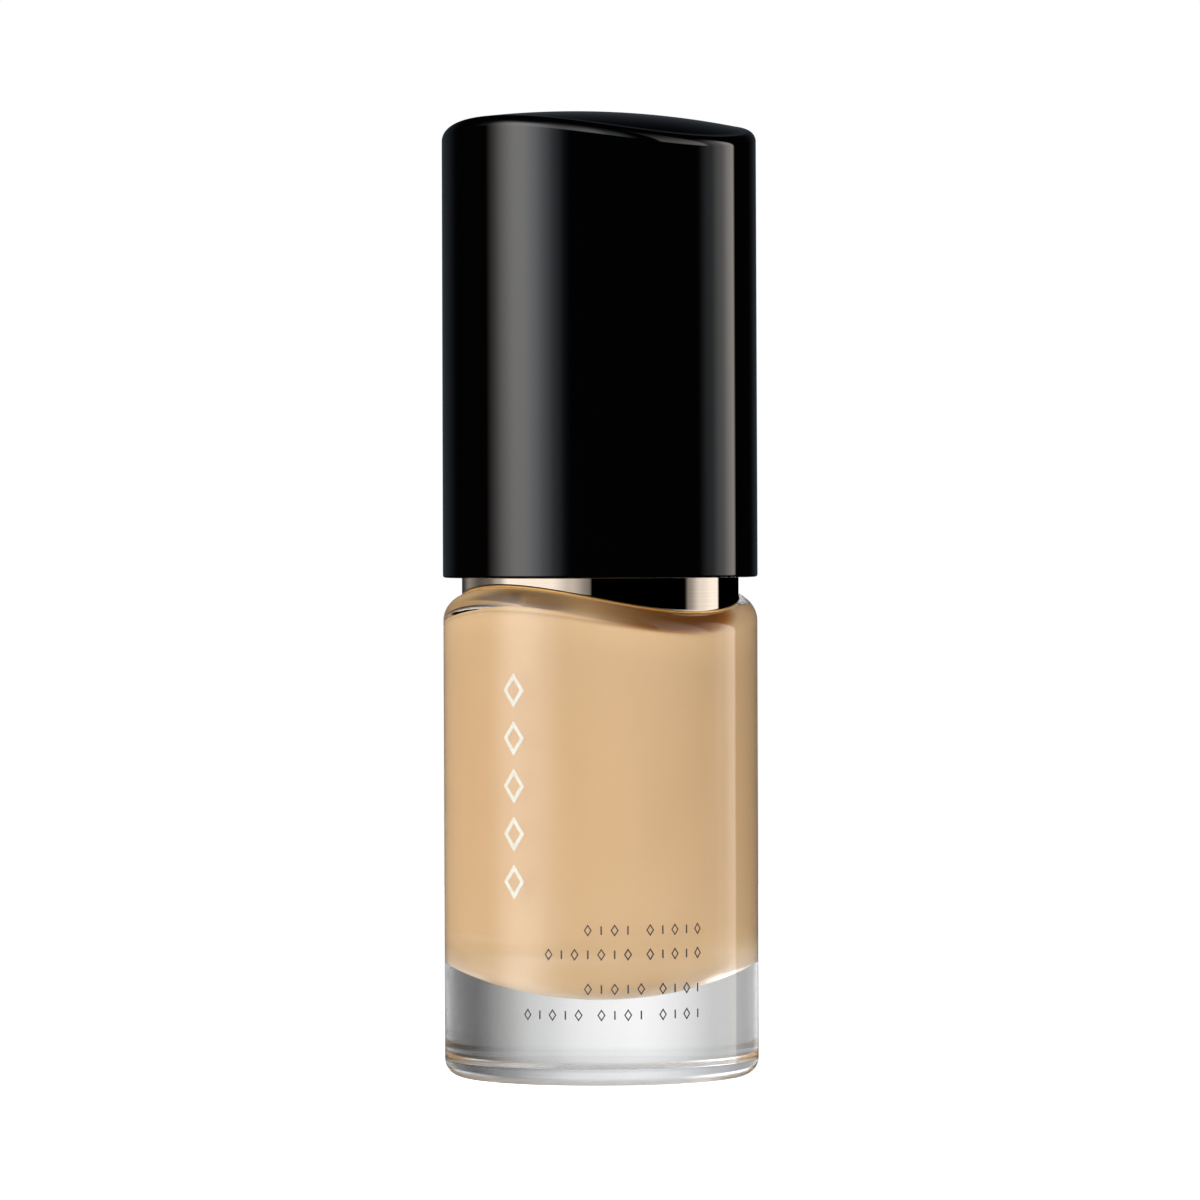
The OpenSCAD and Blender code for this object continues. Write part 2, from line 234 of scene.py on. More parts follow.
# What the polished metal mirrors: the same two panels, flagged so that they don't burn out.
METAL_LEVEL = 1.1
flagged = panorama(sky, around, [
    (-160, 0.04),
    (-141, 0.22),
    (-121, 0.09),
    (-106, 0.13),
    (-94, 0.40),
    (-82, 0.98),
    (-42, 0.94),
    (-25, 0.53),
    (-9, 0.19),
    (-7.5, 0.0),
    (75, 0.0),
    (79, 0.24),
    (93, 0.76),
    (108, 1.0),
    (115, 1.0),
    (116, 0.0),
])
flagged = lit(sky, flagged, METAL_LEVEL)
path = node(sky, "ShaderNodeLightPath")
blurred = calc(sky, "SUBTRACT", 1, path.outputs["Is Singular Ray"])
on_metal = calc(sky, "MULTIPLY", path.outputs["Is Glossy Ray"], blurred)
panels = mixed(sky, on_metal, studio, flagged)
panels = mixed(sky, path.outputs["Is Transmission Ray"], panels, through)
backdrop = mixed(sky, path.outputs["Is Camera Ray"], panels, (1, 1, 1, 1))
light = node(sky, "ShaderNodeBackground", {"Color": backdrop})
sky.links.new(light.outputs[0], node(sky, "ShaderNodeOutputWorld").inputs["Surface"])


def principled(name, **sockets):
    """A material with its Principled node's sockets set by name, spaces written as _."""
    material = bpy.data.materials.new(name)
    material.use_nodes = True
    shader = material.node_tree.nodes["Principled BSDF"]
    for key, value in sockets.items():
        shader.inputs[key.replace("_", " ")].default_value = value
    return material, material.node_tree, shader


SHARP_FROM = radians(40)


def piece(name, bm, material):
    """A finished object from a bmesh, smooth but for its sharp edges."""
    mesh = bpy.data.meshes.new(name)
    bm.to_mesh(mesh)
    bm.free()
    mesh.shade_smooth()
    mesh.set_sharp_from_angle(angle=SHARP_FROM)
    mesh.materials.append(material)
    made = bpy.data.objects.new(name, mesh)
    bpy.context.collection.objects.link(made)
    return made


def object_place(tree):
    return node(tree, "ShaderNodeTexCoord").outputs["Object"]


def noise(tree, place, scale, detail, **values):
    """A noise between 0 and 1 over a piece."""
    settings = {"Vector": place, "Scale": scale, "Detail": detail, **values}
    return node(tree, "ShaderNodeTexNoise", settings).outputs["Fac"]


# The table: a pale matt board that glows a little, so that it meets the white backdrop. Glass and
# polished surfaces look past it, into the studio.
TABLE_RADIUS = 0.42
bm = bmesh.new()
bmesh.ops.create_circle(bm, cap_ends=True, radius=TABLE_RADIUS, segments=96)
table_paint, tree, shader = principled(
    "table_paint", Roughness=0.6, Emission_Color=(1, 1, 1, 1), Emission_Strength=0.95
)
speckle = noise(tree, object_place(tree), 90.0, 2.0)
tree.links.new(ramp(tree, speckle, [(0.3, tint(0.56)), (0.7, tint(0.58))]), shader.inputs["Base Color"])
table = piece("table", bm, table_paint)
table.visible_transmission = False
table.visible_glossy = False

# The bottle: clear glass, pressed thick, with a solid base under a bowl-shaped well. Its shoulder
# rolls over in a slow wave, high at the front left and low at the front right, up to a snap neck.
# The ring that it stands on is frosted.
MM = 0.001
TURN_STEPS = 256
GUARD = 0.06
bottle_low, bottle_high = (Vector(corner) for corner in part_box("glass_bottle"))
glass_r = bottle_high.x / MM
neck_top = bottle_high.z / MM
base_round = 2.1
shoulder_round = 2.5
shoulder = 56.1
shoulder_wave = 1.55
wall = 2.8
well_r = glass_r - wall
well_floor = 9.3
bowl_r = 22.5
bowl_corner = 4.0
ceiling = shoulder - 2.35
ceiling_round = 0.9
ceiling_wave = shoulder_wave * 0.92
rest_ring = 14.0
punt = 0.8
neck_r = 8.8
bore_r = 6.5
bead_r = 9.9
bead_round = 0.9


def arc(x, z, radius, start, end, steps, wave=0.0):
    """Points round part of a circle in the outline's plane, angles in degrees from outwards."""
    angles = [radians(start + (end - start) * k / steps) for k in range(steps + 1)]
    return [(x + radius * cos(a), z + radius * sin(a), wave) for a in angles]


def line(start, end, steps):
    """Points from start up to, but not including, end. One lies close to each end, so that the
    shading of a curve that follows doesn't spread over the straight."""
    close = GUARD / sqrt((end[0] - start[0]) ** 2 + (end[1] - start[1]) ** 2)
    shares = [0, close, *(k / steps for k in range(1, steps)), 1 - close]
    return [tuple(p + (q - p) * share for p, q in zip(start, end)) for share in shares]


def saddle(radius, z, wave, inner, steps=8):
    """Points inwards across a waved top, whose wave fades with the square of the radius."""
    reach = [radius + (inner - radius) * k / steps for k in range(1, steps + 1)]
    return [(r, z, wave * (r / radius) ** 2) for r in reach]


def turned(outline, closed=False, steps=TURN_STEPS):
    """A bmesh turned from points of (radius, height, wave) in millimetres. The wave lifts a point
    towards the front left and back right, and lowers it towards the other two sides."""
    bm = bmesh.new()
    lift = bm.verts.layers.float.new("lift")
    verts = []
    for r, z, wave in outline:
        vert = bm.verts.new((r * MM, 0, z * MM))
        vert[lift] = wave * MM
        verts.append(vert)
    ends = verts[1:] + verts[:1] if closed else verts[1:]
    edges = [bm.edges.new(pair) for pair in zip(verts, ends)]
    bmesh.ops.spin(
        bm, geom=verts + edges, cent=(0, 0, 0), axis=(0, 0, 1), angle=2 * pi, steps=steps, use_merge=True
    )
    bmesh.ops.remove_doubles(bm, verts=bm.verts, dist=1e-7)
    for vert in bm.verts:
        across = vert.co.x ** 2 + vert.co.y ** 2
        if across > 1e-12:
            vert.co.z += vert[lift] * 2 * vert.co.x * vert.co.y / across
    bm.verts.layers.float.remove(lift)
    bmesh.ops.recalc_face_normals(bm, faces=bm.faces)
    return bm


corner_x = well_r - bowl_corner
bowl_z = well_floor + bowl_r
corner_z = bowl_z - sqrt((bowl_r - bowl_corner) ** 2 - corner_x ** 2)
bowl_turn = acos(corner_x / (bowl_r - bowl_corner)) * 180 / pi


def well_outline(grow):
    """The well from the middle of its floor up to the neck's bore, grown outwards all over."""
    side = well_r + grow
    top = ceiling + grow
    edge = (side, ceiling - ceiling_round, ceiling_wave)
    return [
        *arc(0, bowl_z, bowl_r + grow, -90, -bowl_turn, 20)[:-1],
        *arc(corner_x, corner_z, bowl_corner + grow, -bowl_turn, 0, 8),
        *line((side, corner_z, 0.0), edge, 12)[1:],
        *arc(well_r - ceiling_round, ceiling - ceiling_round, ceiling_round + grow, 0, 90, 10, ceiling_wave),
        *saddle(well_r - ceiling_round, top, ceiling_wave, bore_r + 0.4 + grow),
        (bore_r + grow, top + 0.4, ceiling_wave * 0.25),
    ]


punt_r = (rest_ring ** 2 + punt ** 2) / (2 * punt)
punt_turn = acos(rest_ring / punt_r) * 180 / pi
outside = [
    *arc(0, punt - punt_r, punt_r, 90, punt_turn, 12)[:-1],
    (rest_ring - 0.15, 0.04, 0.0),
    (rest_ring + 0.25, 0.0, 0.0),
    *arc(glass_r - base_round, base_round, base_round, -90, 0, 12),
    *line((glass_r, base_round, 0.0), (glass_r, shoulder - shoulder_round, shoulder_wave), 16)[1:],
    *arc(glass_r - shoulder_round, shoulder - shoulder_round, shoulder_round, 0, 90, 16, shoulder_wave),
    *saddle(glass_r - shoulder_round, shoulder, shoulder_wave, neck_r + 0.5),
    (neck_r, shoulder + 0.5, shoulder_wave * 0.3),
    (neck_r, neck_top - 4.4, 0.0),
    (neck_r, neck_top - 4.0, 0.0),
    (bead_r - 0.2, neck_top - 3.5, 0.0),
    (bead_r, neck_top - 3.2, 0.0),
    (bead_r, neck_top - 1.2, 0.0),
    *arc(bead_r - bead_round, neck_top - bead_round, bead_round, 15, 90, 6),
    (bore_r + 0.4, neck_top, 0.0),
    (bore_r, neck_top - 0.4, 0.0),
]


def bump(tree, height, strength, distance):
    values = {"Height": height, "Strength": strength, "Distance": distance}
    return node(tree, "ShaderNodeBump", values).outputs["Normal"]


glass, tree, shader = principled("clear_glass", IOR=1.5, Transmission_Weight=1.0)
place = object_place(tree)
ripple = noise(tree, place, 55.0, 1.0, Roughness=0.4)
tree.links.new(bump(tree, ripple, 0.03, 0.0006), shader.inputs["Normal"])
up = node(tree, "ShaderNodeSeparateXYZ", {0: place}).outputs["Z"]
frosted = calc(tree, "MULTIPLY", fade(tree, up, 1.2 * MM, 0.5 * MM), 0.9)
tree.links.new(frosted, shader.inputs["Roughness"])
# The glass is darker and a little bluer towards the bottom, over its lowest few millimetres.
darker_towards_bottom = [(0.0, (0.985, 0.99, 0.985)), (1.0, (0.76, 0.785, 0.815))]
tree.links.new(ramp(tree, fade(tree, up, 3.4 * MM, 1.4 * MM), darker_towards_bottom), shader.inputs["Base Color"])
bottle = piece("bottle_glass", turned(outside + well_outline(0)[::-1]), glass)
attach(bottle, "bottle")
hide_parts("glass_bottle")

# The foundation: an opaque beige cream that wets the glass all round, so that the thick wall
# magnifies it to the bottle's full width. It stands in the neck round the pump.
wet = 0.03
fill_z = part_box("foundation_liquid")[1][2] / MM
housing_r = 5.06
housing_step = 44.0
socket_r = 3.06
socket_top = 41.0
socket_low = 32.94
cream_outline = [
    *well_outline(wet),
    (bore_r + wet, fill_z - 0.3, 0.0),
    (bore_r - 0.5, fill_z - 0.5, 0.0),
    (housing_r + 0.3, fill_z - 0.45, 0.0),
    (housing_r, fill_z - 0.2, 0.0),
    (housing_r, housing_step, 0.0),
    (socket_r, socket_top, 0.0),
    (socket_r, socket_low, 0.0),
    (0, socket_low, 0.0),
]
over_wave = bpy.data.node_groups.new("over_wave", "ShaderNodeTree")
over_wave.interface.new_socket("Place", in_out="INPUT", socket_type="NodeSocketVector")
over_wave.interface.new_socket("Wave", in_out="INPUT", socket_type="NodeSocketFloat")
over_wave.interface.new_socket("Height", in_out="OUTPUT", socket_type="NodeSocketFloat")
given = node(over_wave, "NodeGroupInput")
x, y, z = node(over_wave, "ShaderNodeSeparateXYZ", {0: given.outputs["Place"]}).outputs
across = calc(over_wave, "ADD", calc(over_wave, "MULTIPLY", x, x), calc(over_wave, "MULTIPLY", y, y))
swirl = calc(over_wave, "MULTIPLY", calc(over_wave, "MULTIPLY", x, y), 2.0)
rise = calc(over_wave, "MULTIPLY", calc(over_wave, "DIVIDE", swirl, across), given.outputs["Wave"])
result = node(over_wave, "NodeGroupOutput")
over_wave.links.new(calc(over_wave, "SUBTRACT", z, rise), result.inputs["Height"])


def height_over_wave(tree, place, wave):
    """Height of a point with the shoulder's wave, given in millimetres, taken away."""
    made = node(tree, "ShaderNodeGroup", node_tree=over_wave)
    tree.links.new(place, made.inputs["Place"])
    made.inputs["Wave"].default_value = wave * MM
    return made.outputs["Height"]


# The cream's emission is painted light, a faint glow against the ceiling at the left.
cream, tree, shader = principled("foundation_cream", Roughness=0.22, IOR=1.36, Emission_Strength=0.26)
place = object_place(tree)
streaks = node(tree, "ShaderNodeMapping", {"Vector": place, "Scale": (60, 60, 14)}).outputs[0]
cloud = noise(tree, streaks, 1.0, 3.0, Distortion=0.6)
shade = ramp(tree, cloud, [(0.3, (0.70, 0.47, 0.255)), (0.7, (0.75, 0.51, 0.285))])
# Against the ceiling the cream carries painted light and shade: painted light that makes it glow a little at
# the left, and painted shade that darkens it to the right.
above = height_over_wave(tree, place, ceiling_wave)
under_top = fade(tree, above, (ceiling - 0.32) * MM, (ceiling - 0.02) * MM)
along = node(tree, "ShaderNodeSeparateXYZ", {0: place}).outputs["X"]
rightward = fade(tree, along, -12 * MM, 10 * MM)
ceiling_light_and_shade = ramp(tree, rightward, [(0.0, (0.98, 0.72, 0.42)), (1.0, (0.45, 0.17, 0.04))])
tree.links.new(mixed(tree, under_top, shade, ceiling_light_and_shade), shader.inputs["Base Color"])
glow = calc(tree, "MULTIPLY", under_top, calc(tree, "SUBTRACT", 1, rightward))
tree.links.new(lit(tree, (1.0, 0.62, 0.27), glow), shader.inputs["Emission Color"])
liquid = piece("foundation_fill", turned(cream_outline), cream)
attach(liquid, "bottle")
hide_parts("foundation_liquid")

# The marks: five slim lozenges of cream foil stamped in a column at the left, and four rows of
# fine dark screen print at the lower right. They are plain geometric marks, bent on the glass.
MARK_GAP = 0.01
MARK_THICKNESS = 0.03


def added(bm, other):
    """Puts another bmesh into bm."""
    mesh = bpy.data.meshes.new("passing")
    other.to_mesh(mesh)
    other.free()
    bm.from_mesh(mesh)
    bpy.data.meshes.remove(mesh)


def stood_up(bm, mark, x, z):
    """Adds a flat mark to bm, upright in the XZ plane and centred at x, z."""
    bmesh.ops.rotate(mark, verts=mark.verts, cent=(0, 0, 0), matrix=Matrix.Rotation(pi / 2, 3, "X"))
    bmesh.ops.translate(mark, verts=mark.verts, vec=(x, 0, z))
    added(bm, mark)


def lozenge(bm, x, z, width, height, stroke):
    """An open lozenge."""
    mark = bmesh.new()
    bmesh.ops.create_circle(mark, cap_ends=True, radius=1, segments=4)
    bmesh.ops.scale(mark, verts=mark.verts, vec=(width / 2, height / 2, 1))
    bmesh.ops.inset_region(
        mark, faces=mark.faces[:], thickness=stroke, use_boundary=True, use_even_offset=True
    )
    middle = min(mark.faces, key=lambda face: face.calc_center_median().length)
    bmesh.ops.delete(mark, geom=[middle], context="FACES")
    stood_up(bm, mark, x, z)


def bar(bm, x, z, width, height):
    """An upright bar."""
    mark = bmesh.new()
    bmesh.ops.create_grid(mark, x_segments=1, y_segments=1, size=0.5)
    bmesh.ops.scale(mark, verts=mark.verts, vec=(width, height, 1))
    stood_up(bm, mark, x, z)


def bent_on_glass(bm):
    """Thickens flat marks and bends them round the bottle, with x measured along the glass."""
    bmesh.ops.subdivide_edges(bm, edges=bm.edges[:], cuts=2, use_grid_fill=True)
    bmesh.ops.recalc_face_normals(bm, faces=bm.faces)
    bmesh.ops.solidify(bm, geom=bm.faces[:], thickness=MARK_THICKNESS)
    middle = sum((v.co.y for v in bm.verts), 0.0) / len(bm.verts)
    for vert in bm.verts:
        turned_by = vert.co.x / glass_r
        radius = glass_r + MARK_GAP + MARK_THICKNESS / 2 - (vert.co.y - middle)
        vert.co = Vector((radius * sin(turned_by), -radius * cos(turned_by), vert.co.z)) * MM
    bmesh.ops.recalc_face_normals(bm, faces=bm.faces)
    return bm


column_x = -radians(33.0) * glass_r
column_top = 45.8
column_pitch = 5.55
foil_width = 2.8
foil_height = 4.1
foil_stroke = 0.45
foil_count = 5
bm = bmesh.new()
for step in range(foil_count):
    lozenge(bm, column_x, column_top - column_pitch * step, foil_width, foil_height, foil_stroke)
foil, tree, shader = principled("cream_foil", Metallic=0.35, Roughness=0.32)
grain = noise(tree, object_place(tree), 2600.0, 2.0)
leaf = ramp(tree, grain, [(0.3, (0.74, 0.70, 0.60)), (0.7, (0.83, 0.80, 0.71))])
tree.links.new(leaf, shader.inputs["Base Color"])
tree.links.new(bump(tree, grain, 0.3, 0.00004), shader.inputs["Normal"])
foil_marks = piece("foil_column", bent_on_glass(bm), foil)
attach(foil_marks, "bottle")

print_right = radians(36.9) * glass_r
print_pitch = 1.55
print_space = 1.1
print_width = 0.95
print_height = 1.42
print_stroke = 0.14
bar_width = 0.17
bar_height = 1.0
# Each row of print has its height and how many marks are in each of its groups.
print_rows = [(18.1, (4, 5)), (15.3, (7, 5)), (11.3, (5, 4)), (8.3, (5, 4, 4))]
bm = bmesh.new()
for z, groups in print_rows:
    x = print_right - (sum(groups) - 1) * print_pitch - (len(groups) - 1) * print_space
    for count in groups:
        for k in range(count):
            if k % 2 == 0:
                lozenge(bm, x, z, print_width, print_height, print_stroke)
            else:
                bar(bm, x, z, bar_width, bar_height)
            x += print_pitch
        x += print_space
ink, tree, shader = principled("dark_ink", Roughness=0.55)
grain = noise(tree, object_place(tree), 9000.0, 1.0)
tone = ramp(tree, grain, [(0.3, (0.035, 0.03, 0.036)), (0.7, (0.065, 0.056, 0.065))])
tree.links.new(tone, shader.inputs["Base Color"])
print_marks = piece("print_rows", bent_on_glass(bm), ink)
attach(print_marks, "bottle")

# The collar: thin aluminium, drawn, polished and anodised champagne gold. It is pressed on its
# carrier and its lower edge is trimmed to the wave of the shoulder that it stands on. A thin hem
# along that edge is rougher, and its dull orange-gold colour is a painted reflection of the gold.
sleeve_high = Vector(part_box("collar_sleeve")[1])
collar_r = sleeve_high.x / MM
collar_top = sleeve_high.z / MM
sheet = 0.5
rim = 0.4
foot = shoulder + 0.02
hem = 0.15
hem_top = 0.36
lip = 1.8
sleeve_outline = [
    *arc(collar_r - 0.04, foot + hem, hem, -90, 50, 8, shoulder_wave),
    *line((collar_r, foot + hem_top, shoulder_wave), (collar_r, collar_top - rim, 0.0), 14),
    *arc(collar_r - rim, collar_top - rim, rim, 0, 90, 6),
    (collar_r - lip, collar_top, 0.0),
    (collar_r - lip, collar_top - sheet, 0.0),
    *line((collar_r - sheet, collar_top - sheet, 0.0), (collar_r - sheet, foot + 0.06, shoulder_wave), 14),
    (collar_r - sheet + 0.06, foot, shoulder_wave),
]
gold, tree, shader = principled("champagne_gold", Metallic=1.0)
place = object_place(tree)
rings = node(tree, "ShaderNodeMapping", {"Vector": place, "Scale": (8, 8, 4000)}).outputs[0]
drawn = noise(tree, rings, 1.0, 2.0)
colour = ramp(tree, drawn, [(0.3, (0.91, 0.76, 0.62)), (0.7, (0.95, 0.81, 0.68))])
above = height_over_wave(tree, place, shoulder_wave)
hemmed = fade(tree, above, (foot + hem_top - 0.06) * MM, (foot + hem_top - 0.14) * MM)
# The hem's colour is a painted reflection; its higher roughness is the edge's own.
painted_amber_reflection = (0.90, 0.56, 0.20, 1)
tree.links.new(mixed(tree, hemmed, colour, painted_amber_reflection), shader.inputs["Base Color"])
tree.links.new(calc(tree, "MULTIPLY_ADD", hemmed, 0.38, 0.03), shader.inputs["Roughness"])
collar = piece("collar_band", turned(sleeve_outline, closed=True), gold)
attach(collar, "bottle")
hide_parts("collar_sleeve")

# The base label: a round blank film stuck in the hollow under the glass. Its grey adhesive side
# is seen through the thick base.
label_r = 9.0
label_z = punt - punt_r
label_up = punt_r + 0.02
label_down = punt_r - 0.12
label_outline = [
    *arc(0, label_z, label_up, 90, acos(label_r / label_up) * 180 / pi, 8),
    *arc(0, label_z, label_down, acos(label_r / label_down) * 180 / pi, 90, 8),
]
film, tree, shader = principled("label_film", Roughness=0.5)
normal = node(tree, "ShaderNodeNewGeometry").outputs["Normal"]
facing_up = fade(tree, node(tree, "ShaderNodeSeparateXYZ", {0: normal}).outputs["Z"], -0.2, 0.2)
mottle = noise(tree, object_place(tree), 420.0, 3.0)
glue = ramp(tree, mottle, [(0.35, (0.10, 0.10, 0.11)), (0.65, (0.42, 0.42, 0.43))])
blank = (0.84, 0.84, 0.82, 1)
tree.links.new(mixed(tree, facing_up, blank, glue), shader.inputs["Base Color"])
label = piece("base_film", turned(label_outline, steps=96), film)
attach(label, "bottle")
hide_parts("base_label")

# The pump's moulded plastics: natural polypropylene for the housing, guide, stem and closure,
# softer ivory polyethylene for the piston, and a translucent dip tube. They share a fine grain.
moulded = bpy.data.node_groups.new("moulded_grain", "ShaderNodeTree")
moulded.interface.new_socket("Size", in_out="INPUT", socket_type="NodeSocketFloat")
moulded.interface.new_socket("Gloss", in_out="INPUT", socket_type="NodeSocketFloat")
moulded.interface.new_socket("Dark", in_out="INPUT", socket_type="NodeSocketColor")
moulded.interface.new_socket("Pale", in_out="INPUT", socket_type="NodeSocketColor")
moulded.interface.new_socket("Color", in_out="OUTPUT", socket_type="NodeSocketColor")
moulded.interface.new_socket("Roughness", in_out="OUTPUT", socket_type="NodeSocketFloat")
moulded.interface.new_socket("Height", in_out="OUTPUT", socket_type="NodeSocketFloat")
given = node(moulded, "NodeGroupInput")
place = object_place(moulded)
flow = fade(moulded, noise(moulded, place, 90.0, 3.0, Distortion=0.8), 0.3, 0.7)
fine = noise(moulded, place, given.outputs["Size"], 2.0)
haze = calc(moulded, "MULTIPLY_ADD", fine, 0.16, given.outputs["Gloss"])
blend = mixed(moulded, flow, given.outputs["Dark"], given.outputs["Pale"])
node(moulded, "NodeGroupOutput", {"Color": blend, "Roughness": haze, "Height": fine})


def moulding(name, dark, pale, size, gloss, depth, **sockets):
    """A moulded material: two close colours in soft flow marks, with a fine grain."""
    material, tree, shader = principled(name, **sockets)
    grain = node(tree, "ShaderNodeGroup", node_tree=moulded)
    grain.inputs["Size"].default_value = size
    grain.inputs["Gloss"].default_value = gloss
    grain.inputs["Dark"].default_value = (*dark, 1)
    grain.inputs["Pale"].default_value = (*pale, 1)
    tree.links.new(grain.outputs["Color"], shader.inputs["Base Color"])
    tree.links.new(grain.outputs["Roughness"], shader.inputs["Roughness"])
    tree.links.new(bump(tree, grain.outputs["Height"], 0.5, depth), shader.inputs["Normal"])
    return material


def paint(material, *names):
    """Gives CAD nodes a material."""
    for name in names:
        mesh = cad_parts[name].data
        mesh.materials.clear()
        mesh.materials.append(material)


natural = moulding("natural_plastic", (0.72, 0.72, 0.69), (0.80, 0.80, 0.77), 1800.0, 0.30, 0.00002, IOR=1.49)
ivory = moulding("ivory_plastic", (0.76, 0.71, 0.58), (0.82, 0.78, 0.66), 1500.0, 0.38, 0.00002, IOR=1.5)
tubing = moulding("tube_plastic", (0.66, 0.67, 0.64), (0.76, 0.77, 0.74), 900.0, 0.26, 0.00001, IOR=1.5)
rubber = moulding("seal_rubber", (0.56, 0.56, 0.53), (0.62, 0.62, 0.59), 2400.0, 0.58, 0.00003, IOR=1.45)
satin = moulding("dark_plastic", (0.010, 0.010, 0.011), (0.017, 0.017, 0.018), 2200.0, 0.24, 0.00002, IOR=1.5)
shiny = moulding("head_black", (0.004, 0.004, 0.005), (0.007, 0.007, 0.008), 1600.0, 0.03, 0.00001, IOR=1.5)
paint(natural, "pump_housing", "stem_guide", "pump_stem")
paint(ivory, "piston")
paint(tubing, "dip_tube")
paint(rubber, "neck_gasket")
paint(satin, "collar_core")

# The return spring: stainless wire wound on a mandrel, with a closed turn at each end. It sits
# on the housing's ledge and shortens as the head goes down. The inlet ball is the same steel.
spring_low, spring_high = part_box("return_spring")
wire = 0.28
coil = spring_high.x / MM - wire
open_turns = 5
coil_steps = 32
open_pitch = ((spring_high.z - spring_low.z) / MM - 6 * wire) / open_turns
bm = bmesh.new()
bmesh.ops.create_circle(bm, cap_ends=False, radius=wire * MM, segments=12)
bmesh.ops.rotate(bm, verts=bm.verts, cent=(0, 0, 0), matrix=Matrix.Rotation(pi / 2, 3, "X"))
bmesh.ops.translate(bm, verts=bm.verts, vec=(coil * MM, 0, spring_low.z + wire * MM))
ends = bm.verts[:] + bm.edges[:]
for turns, pitch in [(1, 2 * wire), (open_turns, open_pitch), (1, 2 * wire)]:
    steps = turns * coil_steps
    ends = bmesh.ops.spin(
        bm, geom=ends, cent=(0, 0, 0), axis=(0, 0, 1), dvec=(0, 0, pitch * MM / coil_steps),
        angle=2 * pi * turns, steps=steps,
    )["geom_last"]
bmesh.ops.holes_fill(bm, edges=[edge for edge in bm.edges if edge.is_boundary], sides=0)
bmesh.ops.recalc_face_normals(bm, faces=bm.faces)
steel, tree, shader = principled("spring_steel", Metallic=1.0)
drawn = noise(tree, object_place(tree), 1400.0, 2.0)
sheen = ramp(tree, drawn, [(0.3, (0.60, 0.60, 0.62)), (0.7, (0.72, 0.72, 0.73))])
tree.links.new(sheen, shader.inputs["Base Color"])
tree.links.new(calc(tree, "MULTIPLY_ADD", drawn, 0.14, 0.12), shader.inputs["Roughness"])
spring = piece("spring_coil", bm, steel)
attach(spring, "bottle")
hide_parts("return_spring")
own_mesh(spring)
paint(steel, "inlet_ball")

# The closure: eight slit fingers snap under the neck's bead, and a tower above guides the pump
# head. It is one moulding of natural polypropylene, pushed on and locked by the collar's carrier.
closure_low, closure_high = (Vector(corner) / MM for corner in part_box("snap_closure"))
tower_r = 7.3
tower_bore = 6.3
closure_r = closure_high.x
tower_top = closure_high.z
slit_top = 63.0
closure_deck = 67.4
deck_low = closure_deck - 1.2
tower_round = 0.3
bead_room = bead_r + 0.1
grip_r = neck_r + 0.25
slit_width = 0.8
fingers = 8
body_outline = [
    (bead_room, slit_top, 0.0),
    (closure_r, slit_top, 0.0),
    (closure_r, closure_deck - 0.2, 0.0),
    (closure_r - 0.2, closure_deck, 0.0),
    (tower_r + 0.15, closure_deck, 0.0),
    (tower_r, closure_deck + 0.15, 0.0),
    *arc(tower_r - tower_round, tower_top - tower_round, tower_round, 0, 90, 6),
    *arc(tower_bore + tower_round, tower_top - tower_round, tower_round, 90, 180, 6),
    (tower_bore, deck_low, 0.0),
    (bead_room, deck_low, 0.0),
]
finger_outline = [
    (grip_r, closure_low.z),
    (closure_r, closure_low.z),
    (closure_r, slit_top),
    (bead_room, slit_top),
    (bead_room, neck_top - 3.6),
    (grip_r, neck_top - 4.5),
]
bm = turned(body_outline, closed=True, steps=160)
slit_angle = slit_width / closure_r
finger_turn = 2 * pi / fingers
for k in range(fingers):
    finger = bmesh.new()
    start = k * finger_turn + slit_angle / 2
    verts = [finger.verts.new((r * MM * cos(start), r * MM * sin(start), z * MM)) for r, z in finger_outline]
    face = finger.faces.new(verts)
    bmesh.ops.spin(
        finger, geom=[face], cent=(0, 0, 0), axis=(0, 0, 1), angle=finger_turn - slit_angle, steps=10
    )
    bmesh.ops.recalc_face_normals(finger, faces=finger.faces)
    added(bm, finger)
closure = piece("closure", bm, natural)
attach(closure, "bottle")
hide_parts("snap_closure")

# The pump head: a black button with a finger dish, pressed over a frame that carries the hub and
# the spout. The spout comes out through a hole in the button's side and ends in a tapered tip.
shell_low, shell_high = (Vector(corner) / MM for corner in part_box("head_shell"))
head_r = shell_high.x
head_low = shell_low.z
head_top = shell_high.z
head_wall = 0.9
head_round = 1.2
head_ceiling = 91.3
skirt_round = 0.25
dish_r = 26.0
dish_depth = 1.0
dish_rim = sqrt(dish_r ** 2 - (dish_r - dish_depth) ** 2)
dish_turn = acos(dish_rim / dish_r) * 180 / pi
nozzle_z = 87.5
nozzle_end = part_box("nozzle_tip")[1][0] / MM
spout_r = 2.2
spout_end = nozzle_end - 1.6
button_outline = [
    *arc(0, head_top + dish_r - dish_depth, dish_r, -90, -dish_turn, 16)[:-1],
    (dish_rim - 0.1, head_top - 0.02, 0.0),
    (dish_rim + 0.1, head_top, 0.0),
    *arc(head_r - head_round, head_top - head_round, head_round, 90, 0, 12),
    *line((head_r, head_top - head_round, 0.0), (head_r, head_low + skirt_round, 0.0), 12)[1:],
    *arc(head_r - skirt_round, head_low + skirt_round, skirt_round, 0, -90, 5),
    *arc(head_r - head_wall + skirt_round, head_low + skirt_round, skirt_round, -90, -180, 5),
    (head_r - head_wall, head_ceiling, 0.0),
    (0, head_ceiling, 0.0),
]
button = piece("pump_button", turned(button_outline, steps=192), shiny)
drill = bmesh.new()
drill_r = (spout_r + 0.1) * MM
drill_long = head_r * 2 * MM
through_side = Matrix.Translation((head_r * MM, 0, nozzle_z * MM)) @ Matrix.Rotation(pi / 2, 4, "Y")
bmesh.ops.create_cone(
    drill, cap_ends=True, segments=64, radius1=drill_r, radius2=drill_r, depth=drill_long,
    matrix=through_side,
)
